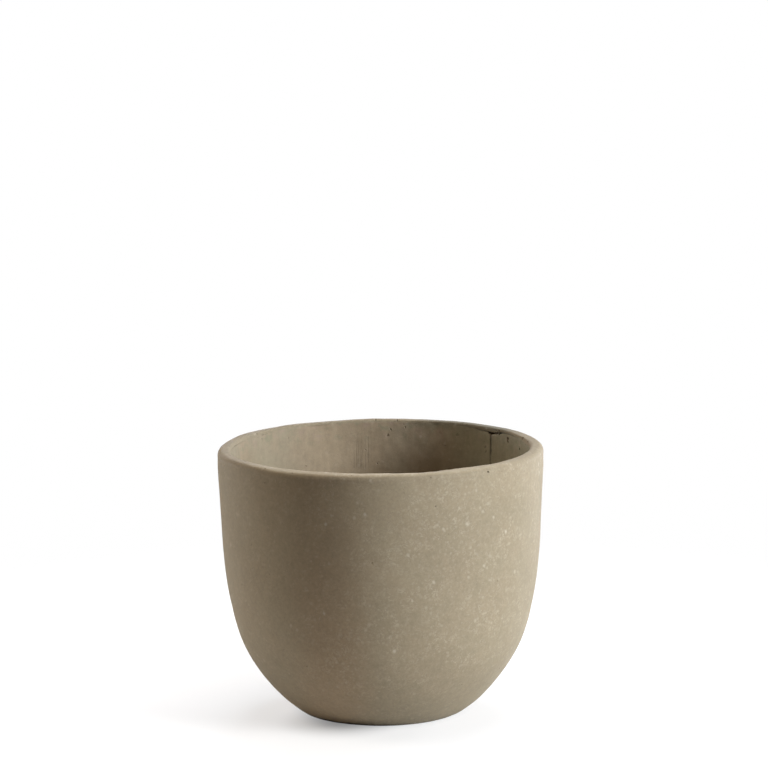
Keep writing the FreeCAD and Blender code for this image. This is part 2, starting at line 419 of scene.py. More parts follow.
def concrete(name, inside):
    m, nt, bs = nodes_for(name)
    n = Net(nt)
    sep = n.nt.nodes.new("ShaderNodeSeparateXYZ")
    n.put(sep.inputs[0], n.co)
    up = sep.outputs[2]
    deg = n.math("MULTIPLY", n.math("ARCTAN2", sep.outputs[1], sep.outputs[0]), 180.0 / math.pi)
    # the stretch of rim over the seam, darker there: a grey-green stain, with painted shade under the rim's edge
    patch = n.math("MULTIPLY", n.remap(deg, 20.0, 37.0, 0, 1, True), n.remap(deg, 84.0, 64.0, 0, 1, True))
    big = n.noise(70.0, 3.0, 0.55).outputs["Fac"]
    mid = n.noise(9.0 if inside else 15.0, 3.0, 0.55).outputs["Fac"]
    fine = n.noise(3.6, 3.0, 0.62).outputs["Fac"]
    dust = n.noise(0.9, 3.0, 0.6).outputs["Fac"]
    hue = n.noise(46.0, 3.0, 0.5).outputs["Fac"]
    warm, cool = (ALBEDO_IN_WARM, ALBEDO_IN_COOL) if inside else (ALBEDO_WARM, ALBEDO_COOL)
    base = n.mix(n.remap(hue, 0.36, 0.64, 0, 1, True), warm, cool)
    if not inside:
        # a browner band down the front at the left
        brown = n.math("MULTIPLY", n.remap(n.math("ABSOLUTE", n.math("ADD", sep.outputs[0], 58.0)), 62.0, 8.0, 0, 1, True), n.remap(sep.outputs[1], 0.0, -60.0, 0, 1, True))
        base = n.mix(n.math("MULTIPLY", brown, n.remap(up, 290.0, 120.0, 0.35, 1.0, True)), base, tuple(k * c for k, c in zip((1.035, 0.965, 0.930), warm)))
    if inside:
        # the half right of the seam is a little greener, the back wall a little browner
        green = n.math("MULTIPLY", n.remap(deg, 74.0, 44.0, 0, 1, True), n.remap(deg, -60.0, -20.0, 0, 1, True))
        base = n.mix(green, base, tuple(k * c for k, c in zip((0.935, 1.015, 1.020), cool)))
        brown = n.math("MULTIPLY", n.remap(deg, 78.0, 92.0, 0, 1, True), n.remap(deg, 134.0, 112.0, 0, 1, True))
        base = n.mix(brown, base, tuple(k * c for k, c in zip((1.035, 1.015, 0.985), warm)))
        # stains of green and of rust red near the rim, where the laying-up was wiped
        stain = n.noise(12.0, 3.0, 0.6).outputs["Fac"]
        near = n.remap(up, 286.0, 312.0, 0.0, 1.0, True)
        base = n.mix(n.math("MULTIPLY", n.remap(stain, 0.52, 0.66, 0, 0.52, True), near), base, (0.200, 0.192, 0.128))
        base = n.mix(n.math("MULTIPLY", n.remap(stain, 0.46, 0.33, 0, 0.52, True), near), base, (0.285, 0.212, 0.166))
        # darker and greener at the top over the seam: a grey-green stain, with painted shade just under the rim
        base = n.mix(n.math("MULTIPLY", patch, n.remap(up, 308.0, 316.0, 0, 1, True)), base, tuple(k * c for k, c in zip((0.80, 0.91, 0.92), warm)))
    # cloudy patches, then the grain of the sand
    a_big, a_mid, a_fine = (0.05, 0.070, 0.045) if inside else (0.025, 0.030, 0.080)
    tone = n.math("ADD", n.remap(big, 0.3, 0.7, -a_big, a_big), n.remap(mid, 0.3, 0.7, -a_mid, a_mid))
    tone = n.math("ADD", tone, n.remap(fine, 0.3, 0.7, -a_fine, a_fine))
    tone = n.math("ADD", tone, n.remap(dust, 0.3, 0.7, -0.03, 0.03))
    if not inside:
        # paler towards the rim at the right, darker low on the left
        tone = n.math("ADD", tone, n.math("MULTIPLY", n.remap(up, 255.0, 308.0, 0, 0.055, True), n.remap(sep.outputs[0], -60.0, 10.0, 0, 1, True)))
        tone = n.math("SUBTRACT", tone, n.math("MULTIPLY", n.remap(up, 125.0, 45.0, 0, 0.06, True), n.remap(sep.outputs[0], -50.0, -120.0, 0, 1, True)))
        # a paler strip down the upper front, and the pot darker towards the bottom
        strip = n.math("MULTIPLY", n.remap(up, 130.0, 215.0, 0, 0.050, True), n.remap(n.math("ABSOLUTE", n.math("SUBTRACT", sep.outputs[0], 8.0)), 62.0, 12.0, 0, 1, True))
        tone = n.math("ADD", tone, strip)
        tone = n.math("SUBTRACT", tone, n.remap(up, 150.0, 12.0, 0, 0.060, True))
        # painted contact shade: the rounded foot is darkened to near black where it meets the floor, most at the
        # left, away from the light
        low = n.math("ADD", up, n.remap(mid, 0.3, 0.7, -0.7, 0.7))
        rad = n.math("SQRT", n.math("ADD", n.math("MULTIPLY", sep.outputs[0], sep.outputs[0]), n.math("MULTIPLY", sep.outputs[1], sep.outputs[1])))
        painted_contact_shade = n.math("ADD", n.remap(low, 6.5, 1.5, 0, 0.62, True), n.remap(low, 15.0, 4.0, 0, 0.24, True))
        painted_contact_shade = n.math("MULTIPLY", n.math("MULTIPLY", painted_contact_shade, n.remap(sep.outputs[0], 45.0, -20.0, 0.35, 1, True)), n.remap(rad, 76.0, 90.0, 0, 1, True))
        tone = n.math("SUBTRACT", tone, painted_contact_shade)
    if inside:
        run = n.noise(6.0, 3.0, 0.55, n.stretch(n.co, 1.0, 1.0, 0.09)).outputs["Fac"]
        tone = n.math("ADD", tone, n.remap(run, 0.3, 0.7, -0.026, 0.026))
        # a patch of dragged trowel lines on the back wall
        line = n.noise(1.7, 2.0, 0.6, n.stretch(n.co, 1.0, 0.3, 0.035)).outputs["Fac"]
        win = n.math("MULTIPLY", n.remap(n.math("ABSOLUTE", n.math("SUBTRACT", deg, 97.6)), 4.6, 2.4, 0, 1, True), n.remap(n.math("ABSOLUTE", n.math("SUBTRACT", up, 280.0)), 27.0, 15.0, 0, 1, True))
        drag = n.math("MULTIPLY", n.remap(line, 0.52, 0.36, 0.0, 0.20, True), win)
        tone = n.math("SUBTRACT", tone, drag)
        # dirt along the seam, thick under the rim and thin below
        off = n.math("ABSOLUTE", n.math("MULTIPLY", n.math("SUBTRACT", deg, n.math("ADD", SEAM_DEG, n.remap(run, 0.3, 0.7, -0.12, 0.12))), 3.13))
        dirt = n.math("MULTIPLY", n.remap(off, 2.6, 0.3, 0, 1, True), n.remap(up, 278.0, 300.0, 0.32, 0.55, True))
        tone = n.math("SUBTRACT", tone, dirt)
    lit = n.nt.nodes.new("ShaderNodeVectorMath")
    lit.operation = "SCALE"
    n.put(lit.inputs[0], base)
    n.put(lit.inputs["Scale"], n.math("ADD", tone, 1.0))
    col = lit.outputs[0]
    # pale chips: drawn-out ones in three directions, round ones, and a few dark pores
    share = 0.35 if inside else 1.0
    group = n.remap(n.noise(34.0, 2.0).outputs["Fac"], 0.36, 0.64, 0.45 * share, 1.3 * share)
    # more of them on the right and higher up: painted light, since the chips show more where the light falls
    group = n.math("MULTIPLY", group, n.math("MULTIPLY", n.remap(sep.outputs[0], -130.0, -5.0, 0.52, 1.10, True), n.remap(up, 25.0, 130.0, 0.45, 1.0, True)))
    pale, paler = tuple(k * c for k, c in zip((1.40, 1.48, 1.64), warm)), tuple(k * c for k, c in zip((1.60, 1.74, 2.02), warm))
    # short pale squiggles where the fine sand was brushed
    worm = n.noise(5.0, 1.0, 0.5, n.co, 1.3).outputs["Fac"]
    worm = n.remap(n.math("ABSOLUTE", n.math("SUBTRACT", worm, 0.5)), 0.0, 0.055, 1.0, 0.0, True)
    worm = n.math("MULTIPLY", worm, n.remap(n.noise(7.5, 2.0).outputs["Fac"], 0.44, 0.58, 0.0, 1.0, True))
    col = n.mix(n.math("MULTIPLY", worm, n.math("MULTIPLY", group, 0.50)), col, pale)
    tiny, tiny_t = n.chips(3.6, 0.65, 1.15, 0.50, 0.16, 0.6, 2.0, (0.3, 0.8, 0.1), 1.3)
    one, one_t = n.chips(6.2, 1.00, 1.55, 0.52, 0.14, 1.5, 4.0, (0.9, 0.4, 0.2), 2.4)
    two, two_t = n.chips(6.8, 1.05, 1.60, 0.52, 0.14, 1.5, 5.0, (-0.7, 1.3, 0.5), 2.6)
    six, six_t = n.chips(6.5, 1.00, 1.55, 0.52, 0.14, 1.5, 6.0, (1.5, 0.1, 0.8), 2.2)
    three, three_t = n.chips(10.5, 1.35, 2.15, 0.42, 0.09, 1.4, 1.0, (0.2, -0.6, 1.1), 1.25)
    dark, dark_t = n.chips(6.5, 0.40, 0.85, 0.14, 0.07, 0.8, 3.0)
    col = n.mix(n.math("MULTIPLY", tiny, n.math("MULTIPLY", group, n.remap(tiny_t, 0, 1, 0.03, 0.26))), col, pale)
    col = n.mix(n.math("MULTIPLY", one, n.math("MULTIPLY", group, n.remap(one_t, 0, 1, 0.06, 0.52))), col, pale)
    col = n.mix(n.math("MULTIPLY", two, n.math("MULTIPLY", group, n.remap(two_t, 0, 1, 0.06, 0.52))), col, pale)
    col = n.mix(n.math("MULTIPLY", six, n.math("MULTIPLY", group, n.remap(six_t, 0, 1, 0.06, 0.52))), col, pale)
    col = n.mix(n.math("MULTIPLY", three, n.math("MULTIPLY", group, n.remap(three_t, 0, 1, 0.10, 0.66))), col, paler)
    col = n.mix(n.math("MULTIPLY", dark, n.remap(dark_t, 0, 1, 0.08, 0.34)), col, (0.12, 0.095, 0.066))
    if not inside:
        # a painted highlight: the top of the rim is paler along the front, where the lamps behind the pot glance off
        # it; at the back right it is darker, a grey-green stain with painted shade under its edge
        geo = n.nt.nodes.new("ShaderNodeNewGeometry")
        facing = n.nt.nodes.new("ShaderNodeSeparateXYZ")
        n.put(facing.inputs[0], geo.outputs["Normal"])
        top = n.remap(facing.outputs[2], 0.55, 0.97, 0, 1, True)
        top = n.math("MULTIPLY", top, n.remap(up, 300.0, 308.0))
        front = n.math("MULTIPLY", n.remap(deg, -22.0, -62.0, 0.25, 1, True), n.remap(deg, -156.0, -134.0, 0.15, 1, True))
        front = n.math("MAXIMUM", n.math("MULTIPLY", front, n.remap(deg, 30.0, 8.0, 0, 1, True)), n.remap(deg, 160.0, 180.0, 0, 0.15, True))
        # painted highlight on the top of the rim at the front
        painted_rim_highlight = n.nt.nodes.new("ShaderNodeVectorMath")
        painted_rim_highlight.operation = "MULTIPLY"
        n.put(painted_rim_highlight.inputs[0], col)
        painted_rim_highlight.inputs[1].default_value = (1.36, 1.37, 1.39)
        col = n.mix(n.math("MULTIPLY", top, front), col, painted_rim_highlight.outputs[0])
        # darker over the seam at the back right: a grey-green stain, with painted shade on the rim's inner edge and
        # cap where they are in shadow
        rad = n.math("SQRT", n.math("ADD", n.math("MULTIPLY", sep.outputs[0], sep.outputs[0]), n.math("MULTIPLY", sep.outputs[1], sep.outputs[1])))
        lip = n.math("MULTIPLY", n.remap(rad, 190.5, 187.0, 0, 1, True), n.remap(up, 300.0, 308.0))
        stain_and_painted_shade = n.nt.nodes.new("ShaderNodeVectorMath")
        stain_and_painted_shade.operation = "MULTIPLY"
        n.put(stain_and_painted_shade.inputs[0], col)
        stain_and_painted_shade.inputs[1].default_value = (0.65, 0.69, 0.71)
        col = n.mix(n.math("MULTIPLY", patch, n.math("MAXIMUM", top, lip)), col, stain_and_painted_shade.outputs[0])
    # painted shade: the insides of the pits are darkened towards near black; the flat stains get their dark colour
    # here too
    pit_shade_and_stain = n.nt.nodes.new("ShaderNodeAttribute")
    pit_shade_and_stain.attribute_name = "pit_shade_and_stain"
    col = n.mix(n.math("MULTIPLY", pit_shade_and_stain.outputs["Fac"], 0.85, clamp=True), col, (0.060, 0.048, 0.033))
    n.put(bs.inputs["Base Color"], col)
    n.put(bs.inputs["Roughness"], n.remap(fine, 0.3, 0.7, 0.64, 0.78))
    bs.inputs["Specular IOR Level"].default_value = 0.20
    grain = n.math("ADD", n.math("MULTIPLY", fine, 0.8), n.math("MULTIPLY", dust, 0.35))
    grain = n.math("SUBTRACT", grain, n.math("MULTIPLY", dark, 0.5))
    if inside:
        grain = n.math("SUBTRACT", n.math("ADD", grain, n.math("MULTIPLY", run, 0.5)), n.math("MULTIPLY", drag, 2.5))
    n.put(bs.inputs["Normal"], n.bump(grain, 0.30, 0.55))
    return m


def rubber():
    m, nt, bs = nodes_for("plug_rubber")
    n = Net(nt)
    fine = n.noise(0.7, 4.0, 0.6).outputs["Fac"]
    cloud = n.noise(9.0, 3.0, 0.5).outputs["Fac"]
    dust = n.math("MULTIPLY", n.remap(cloud, 0.45, 0.75, 0, 1, True), 0.35)
    n.put(bs.inputs["Base Color"], n.mix(dust, (0.022, 0.021, 0.020), (0.075, 0.068, 0.058)))
    n.put(bs.inputs["Roughness"], n.remap(cloud, 0.3, 0.7, 0.50, 0.72))
    n.put(bs.inputs["Normal"], n.bump(fine, 0.25, 0.15))
    return m


def felt():
    m, nt, bs = nodes_for("pad_felt")
    n = Net(nt)
    fib = n.noise(0.9, 5.0, 0.7, n.co, 1.5).outputs["Fac"]
    cloud = n.noise(4.0, 2.0).outputs["Fac"]
    n.put(bs.inputs["Base Color"], n.mix(n.math("ADD", n.math("MULTIPLY", fib, 0.7), n.math("MULTIPLY", cloud, 0.3)), (0.030, 0.027, 0.024), (0.115, 0.104, 0.090)))
    bs.inputs["Roughness"].default_value = 0.95
    bs.inputs["Sheen Weight"].default_value = 0.3
    n.put(bs.inputs["Normal"], n.bump(fib, 0.8, 0.4))
    return m


def scrim():
    m, nt, bs = nodes_for("fibre_scrim")
    n = Net(nt)
    sx = n.nt.nodes.new("ShaderNodeSeparateXYZ")
    n.put(sx.inputs[0], n.co)
    ang = n.math("MULTIPLY", n.math("ARCTAN2", sx.outputs[1], sx.outputs[0]), 190.0)
    wx = n.math("ABSOLUTE", n.math("SINE", n.math("MULTIPLY", ang, math.pi / 4.0)))
    wz = n.math("ABSOLUTE", n.math("SINE", n.math("MULTIPLY", sx.outputs[2], math.pi / 4.0)))
    yarn = n.math("MAXIMUM", n.remap(wx, 0.55, 0.95), n.remap(wz, 0.55, 0.95))
    soak = n.noise(6.0, 4.0, 0.6).outputs["Fac"]
    n.put(bs.inputs["Base Color"], n.mix(n.math("MULTIPLY", yarn, n.remap(soak, 0.35, 0.7, 0.15, 0.8)), (0.20, 0.165, 0.12), (0.42, 0.38, 0.31)))
    bs.inputs["Roughness"].default_value = 0.85
    n.put(bs.inputs["Normal"], n.bump(yarn, 0.6, 0.4))
    return m


ALBEDO_WARM, ALBEDO_COOL = (0.2475, 0.2000, 0.1390), (0.2440, 0.2000, 0.1395)
ALBEDO_IN_WARM, ALBEDO_IN_COOL = (0.2700, 0.2125, 0.1510), (0.2580, 0.2155, 0.1545)
FACE = concrete("face_concrete", False)
BACK = concrete("backing_concrete", True)

# ------------------------------------------------------------------ hand-made unevenness
IN_SLOW, IN_MID, IN_RUN = waves(31, 60, 140), waves(32, 14, 30), waves(33, 5, 12, squeeze=(1, 1, 0.12))
OUT_SLOW, OUT_MID = waves(11, 70, 150), waves(12, 16, 34)


def inner_relief(P):
    return 0.28 * IN_SLOW(P) + 0.09 * IN_MID(P) + 0.05 * IN_RUN(P)


def outer_relief(P):
    return 0.20 * OUT_SLOW(P) + 0.06 * OUT_MID(P)


# ------------------------------------------------------------------ outer shell
COLS = 408


def rim_round(deg):
    # the inner edge of the rim is soft at the right and the left and crisp elsewhere
    az = (np.asarray(deg, float) + 180.0) % 360.0 - 180.0
    return smooth01(-58, -22, az) * smooth01(13, 3, az) + 1.08 * smooth01(148, 166, np.abs(az))


def lip_rise(deg):
    # how far the top edge of the inner coats stands above its lowest place, which is at the seam
    az = (np.asarray(deg, float) + 180.0) % 360.0 - 180.0
    dip = np.where(az > SEAM_DEG, smooth01(SEAM_DEG + 17.5, SEAM_DEG + 0.5, az), smooth01(SEAM_DEG - 7.5, SEAM_DEG - 0.5, az))
    return 2.6 * (1 - dip) * smooth01(14, 20, az) * smooth01(150, 136, az)


def rim_dip(deg):
    # the rim is not level: it stands lower at the left and the left front, and higher in one place at the right
    a = np.asarray(deg, float) % 360.0
    return -1.2 * smooth01(138, 172, a) * smooth01(266, 236, a) + 0.8 * bell(a, 340.0, 9.0)


def rim_out_at(w):
    # outer rounding of the rim
    r, s = outer_r(HEIGHT - RIM_OUT_H)
    return np.column_stack([r - RIM_OUT_W * (1 - np.cos(w)) + s * RIM_OUT_H * np.sin(w) * np.cos(w), HEIGHT - RIM_OUT_H * (1 - np.sin(w))])


def shell_loop(rho):
    z0, z1, zc = UNDERSIDE, UNDERSIDE + FACE_T, HEIGHT - RIM_CAP
    # rounding under the pot
    zz = np.linspace(z0, z0 + 20, 4001)
    r, s = outer_r(zz)
    k = np.argmin(abs(zz + BASE_EDGE_R * s / np.hypot(1, s) - (z0 + BASE_EDGE_R)))
    zb, rb, nb = zz[k], r[k], math.hypot(1, s[k])
    cb = rb - BASE_EDGE_R / nb
    edge = arc_pts(cb, z0 + BASE_EDGE_R, BASE_EDGE_R, -math.pi / 2, math.atan2(zb - z0 - BASE_EDGE_R, rb - cb))
    # rim, outside and inside
    zp = HEIGHT - RIM_OUT_H
    rim_out = rim_out_at(np.linspace(0, math.pi / 2, 40))
    ci = inner_r(HEIGHT - rho) + rho
    rim_in = arc_pts(ci, HEIGHT - rho, rho, math.pi / 2, math.pi)
    zw = np.linspace(zb, zp, 600)
    wall = np.column_stack([outer_r(zw)[0], zw])
    cap = np.array([rim_in[-1], (inner_r(zc), zc)])
    hid = offset_curve(FACE_T, z1, zc)[::-1]
    parts = [
        ([(drain_r(z0), z0), edge[0]], 8.0, "under", 1.0),
        (edge, 1.6, "edge", 1.0),
        (wall, 2.6, "wall", 1.0),
        (rim_out, 0.95, "rim", 1.0),
        ([rim_out[-1], rim_in[0]], -9, "rim", 1.0),
        (rim_in, -8, "rim", 1.0),
        (cap, -4, "cap", 1.0),
        ([cap[-1], hid[0]], -4, "ledge", 0.3),
        (hid, 26.0, "hidden", 0.1),
        ([hid[-1], (drain_r(z1), z1)], 30.0, "hidden", 0.1),
        ([(drain_r(z1), z1), (drain_r(z0), z0)], 3.0, "bore", 1.0),
    ]
    return chain(parts)


def make_shell():
    loop, tags, share = shell_loop(RIM_IN_SHARP)
    soft = shell_loop(RIM_IN_ROUND)[0] - loop
    ang = np.linspace(0, 2 * np.pi, COLS, endpoint=False)
    round_k = rim_round(np.degrees(ang))
    rimw = waves(13, 60, 170)
    gain = np.zeros(len(loop))
    gain[np.isin(tags, ("wall", "edge", "rim", "cap"))] = 1.0
    gain[tags == "under"] = 0.25
    r_out = outer_r(HEIGHT)[0] - RIM_OUT_W
    r_in = inner_r(HEIGHT - RIM_IN_SHARP) + RIM_IN_SHARP
    to_in = np.where(tags == "cap", 1.0, np.where(tags == "rim", smooth01(r_out + 2.0, r_in - 1.0, loop[:, 0]), 0.0))
    rim_k = smooth01(HEIGHT - 26, HEIGHT - 4, loop[:, 1]) * np.isin(tags, ("wall", "rim"))
    lean_k = 0.85 * smooth01(294, 313, loop[:, 1]) * np.isin(tags, ("wall", "rim")) * (1 - to_in)
    fall = np.where(tags == "rim", 0.02 * np.clip(loop[:, 0] - 182.0, 0, 7.5), 0.0) * smooth01(HEIGHT - 7, HEIGHT - 1, loop[:, 1])
    lip_k = np.where(tags == "cap", np.clip((HEIGHT - RIM_IN_SHARP - loop[:, 1]) / (RIM_CAP - RIM_IN_SHARP), 0, 1), np.where(tags == "ledge", 1.0, np.where(tags == "hidden", smooth01(HEIGHT - 30, HEIGHT - RIM_CAP, loop[:, 1]), 0.0)))
    rise = lip_rise(np.degrees(ang))
    dip = rim_dip(np.degrees(ang))
    dip_k = np.where(tags == "cap", 1 - lip_k, rim_k)

    def move(P, N, ring, col):
        w = to_in[ring]
        d = gain[ring] * ((1 - w) * outer_relief(P) + w * inner_relief(P))
        Q = P + N * d[:, None]
        flat = P * np.array([1, 1, 0.0])
        Q[:, 2] += rim_k[ring] * (0.68 + 0.25 * rimw(flat)) + dip_k[ring] * dip[col] + lip_k[ring] * rise[col]
        # softer inner edge at the right, a shoulder that leans in a little and a top that falls outwards
        k = round_k[col]
        az = (np.degrees(ang[col]) + 180.0) % 360.0 - 180.0
        r = np.hypot(P[:, 0], P[:, 1])
        lean = lean_k[ring] * (0.75 + 0.25 * np.cos(np.radians(az)) ** 2)
        dr = k * soft[ring, 0] - lean
        Q[:, 0] += dr * P[:, 0] / r
        Q[:, 1] += dr * P[:, 1] / r
        Q[:, 2] += k * soft[ring, 1] - fall[ring]
        return Q

    me = sweep("outer_shell_visual", loop, share, ang, True, move)
    rng = np.random.default_rng(7)
    pits = []

    def on_wall(deg, z, a, dep, dark=0.45):
        r = float(outer_r(z)[0])
        t = math.radians(deg)
        pits.append(((r * math.cos(t), r * math.sin(t), z), a, dep, int(rng.integers(1 << 30)), dark))

    def on_rim(deg, tilt, a, dep, dark=0.45):
        # tilt runs over the rounding, 0 at the wall and 90 on top
        r, z = rim_out_at(np.array([math.radians(tilt)]))[0]
        t = math.radians(deg)
        pits.append(((r * math.cos(t), r * math.sin(t), z), a, dep, int(rng.integers(1 << 30)), dark))

    def on_rim_in(deg, tilt, a, dep, dark=0.75):
        # the inner rounding, 90 on top and 180 at the inner wall
        rho = RIM_IN_SHARP + float(rim_round(deg)) * (RIM_IN_ROUND - RIM_IN_SHARP)
        c = inner_r(HEIGHT - rho) + rho
        w = math.radians(tilt)
        r, z = c + rho * math.cos(w), HEIGHT - rho + rho * math.sin(w)
        t = math.radians(deg)
        pits.append(((r * math.cos(t), r * math.sin(t), z), a, dep, int(rng.integers(1 << 30)), dark))

    def on_cap(deg, z, a, dep, dark=0.6):
        r = inner_r(z)
        t = math.radians(deg)
        pits.append(((r * math.cos(t), r * math.sin(t), z), a, dep, int(rng.integers(1 << 30)), dark))

    for deg, tilt, a, dep in ((91.8, 112, 1.2, 1.0), (83.2, 112, 1.4, 1.1), (147.5, 150, 1.1, 0.8), (175.5, 115, 0.9, 0.6), (35.2, 165, 1.4, 1.2), (15.9, 150, 2.1, 1.6), (8.4, 150, 1.5, 1.0), (37.2, 172, 1.0, 1.0)):
        on_rim_in(deg, tilt, a, dep)
    on_rim(-50.6, 22, 1.3, 1.2, 0.9)
    on_wall(-44.2, 313.0, 0.7, 0.5)
    on_wall(-93.3, 218.0, 1.0, 0.6)
    for _ in range(46):
        on_wall(rng.uniform(0, 360), 30 + 280 * rng.uniform() ** 0.8, rng.uniform(0.6, 1.15), rng.uniform(0.4, 0.9))
    for _ in range(12):
        on_rim(rng.uniform(0, 360), rng.uniform(20, 88), rng.uniform(0.6, 1.0), rng.uniform(0.4, 0.8))
    pit_mesh(me, pits)
    finish_mesh(me, 38)
    return me


def cut_pockets(o):
    # round pockets in the underside for the pads
    bm = bmesh.new()
    for i in range(4):
        a = math.radians(45 + 90 * i)
        geo = bmesh.ops.create_cone(bm, cap_ends=True, segments=64, radius1=PAD_POCKET_R * MM, radius2=PAD_POCKET_R * MM, depth=(PAD_POCKET + 2) * MM)
        bmesh.ops.translate(bm, verts=geo["verts"], vec=Vector((PAD_CIRCLE * math.cos(a), PAD_CIRCLE * math.sin(a), UNDERSIDE + PAD_POCKET - (PAD_POCKET + 2) / 2)) * MM)
    me = bpy.data.meshes.new("pocket_tool")
    bm.to_mesh(me)
    bm.free()
    tool = bpy.data.objects.new("pocket_tool", me)
    scene.collection.objects.link(tool)
    mod = o.modifiers.new("pockets", "BOOLEAN")
    mod.operation = "DIFFERENCE"
    mod.solver = "EXACT"
    mod.object = tool
    dg = bpy.context.evaluated_depsgraph_get()
    new = bpy.data.meshes.new_from_object(o.evaluated_get(dg), preserve_all_data_layers=True, depsgraph=dg)
    o.modifiers.clear()
    old = o.data
    o.data = new
    bpy.data.meshes.remove(old)
    bpy.data.objects.remove(tool)
    bpy.data.meshes.remove(me)
    new.name = "outer_shell_visual"


shell = add("shell_face", make_shell(), FACE, "pot", "face_concrete", "outer_shell")
cut_pockets(shell)


# ------------------------------------------------------------------ inner coats
def backing_loop():
    t0 = FACE_T + 2 * BOND + SCRIM_T
    z0, z1, zh = UNDERSIDE + FACE_T + 2 * BOND + SCRIM_T, UNDERSIDE + BASE_T, HEIGHT - RIM_CAP - BOND
    back = offset_curve(t0, z0, zh)
    face = offset_curve(WALL, z1, zh)[::-1]
    parts = [
        ([(drain_r(z0), z0), back[0]], 30.0, "hidden", 0.1),
        (back, 26.0, "hidden", 0.1),
        ([back[-1], face[0]], 1.2, "top", 0.5),
        (face[:14], 0.8, "face", 1.0),
        (face[13:], 1.75, "face", 1.0),
        ([face[-1], (drain_r(z1), z1)], 20.0, "floor", 0.3),
        ([(drain_r(z1), z1), (drain_r(z0), z0)], 2.0, "bore", 1.0),
    ]
    return chain(parts)


def half_angles(start):
    a0 = math.radians(start + 0.5 * SEAM_GAP_DEG)
    a1 = math.radians(start + 180 - 0.5 * SEAM_GAP_DEG)
    near = np.cumsum([0, 0.35, 0.45, 0.55, 0.7, 0.9, 1.2, 1.5]) / 183.0
    mid = np.linspace(a0 + near[-1], a1 - near[-1], 288)
    return np.concatenate([a0 + near[:-1], mid, a1 - near[:-1][::-1]])


def make_backing(name, start, seed, pits):
    loop, tags, share = backing_loop()
    ang = half_angles(start)
    lip = waves(seed + 3, 9, 30)
    rag = waves(seed + 4, 3, 11)
    rag2 = waves(seed + 5, 20, 60)
    is_face, is_top = tags == "face", tags == "top"
    t0, t1 = FACE_T + 2 * BOND + SCRIM_T, WALL
    zh = HEIGHT - RIM_CAP - BOND
    fade = smooth01(UNDERSIDE + BASE_T, 40, loop[:, 1])
    top_n = np.flatnonzero(is_top)
    across = np.zeros(len(loop))
    across[top_n] = np.arange(len(top_n)) / len(top_n)
    across[is_face] = 1.0
    deg = np.degrees(ang)

    def move(P, N, ring, col):
        face, top = is_face[ring], is_top[ring]
        az = (deg[col] + 180.0) % 360.0 - 180.0
        z = P[:, 2]
        below = np.clip(zh - z, 0, None)
        Q = P + N * (face * fade[ring] * inner_relief(P))[:, None]
        # top edge: tight to the rim at the left, broken back in a dark line at the right
        line = (smooth01(50, 43, az) + 0.35 * smooth01(60, 48, az) * smooth01(43, 50, az)) * smooth01(12, 22, az)
        flat = P * np.array([1, 1, 0.0])
        worn = bell(az, 34.8, 0.9) * 1.7 + bell(az, 37.2, 0.8) * 1.4 + bell(az, 40.4, 1.1) * 1.6 + bell(az, 38.4, 2.6) * 0.6 + bell(az, 32.4, 0.6) * 0.7
        worn = worn + bell(az, 16.4, 0.7) * 1.0 + bell(az, 25.0, 0.6) * 0.4
        drop = line * (0.55 + 0.22 * np.abs(lip(flat))) + worn - 0.19 * (1 - line)
        back = np.clip(line * (0.75 + 0.3 * np.abs(lip(flat))) + 0.5 * worn, 0, 2.2)
        edge_k = np.where(top, 1.0, np.where(face, np.exp(-below / 3.0), 0.0))
        Q[:, 2] += lip_rise(az) * smooth01(16.0, 0.0, below) - drop * edge_k
        r = np.hypot(Q[:, 0], Q[:, 1])
        out = back * across[ring] * np.where(top, 1.0, np.where(face, np.exp(-below / 1.6), 0.0))
        # rounded and ragged edge along the seam
        edge = np.minimum(ang[col] - ang[0], ang[-1] - ang[col]) * r
        high = smooth01(272, 297, z)
        out = out + face * bell(edge, 0, 0.8) * np.clip(0.20 + 0.30 * high + 0.15 * rag(P), 0, 1.0)
        Q[:, 0] *= 1 + out / r
        Q[:, 1] *= 1 + out / r
        first = ang[col] - ang[0] < ang[-1] - ang[col]
        side = np.where(first, 1.0, -1.0)
        ragged = (-0.40 + 0.26 * high + (0.10 + 0.14 * high) * rag(P) + 0.06 * rag2(P)) * np.exp(-edge / 3.0)
        # broken corners under the rim, wider on the left of the seam
        seam = abs(start - SEAM_DEG) < 1
        ragged = ragged + (2.2 if seam else 1.3) * bell(z, zh + 0.5, 2.0) * (first if seam else ~first) * np.exp(-edge / 6.0)
        # the seam wanders, both its sides together
        drift = (0.42 * np.sin(z / 6.1 + 0.7) + 0.30 * np.sin(z / 2.9 + 2.1) + 0.5 * np.sin(z / 23.0)) * np.exp(-edge / 9.0) * smooth01(18, 40, z)
        t = np.column_stack([-Q[:, 1], Q[:, 0], np.zeros(len(Q))]) / r[:, None]
        return Q + t * ((side * ragged + drift) * (face | top))[:, None]

    me = sweep(name, loop, share, ang, False, move)
    pit_mesh(me, pits)
    finish_mesh(me, 42)
    return me


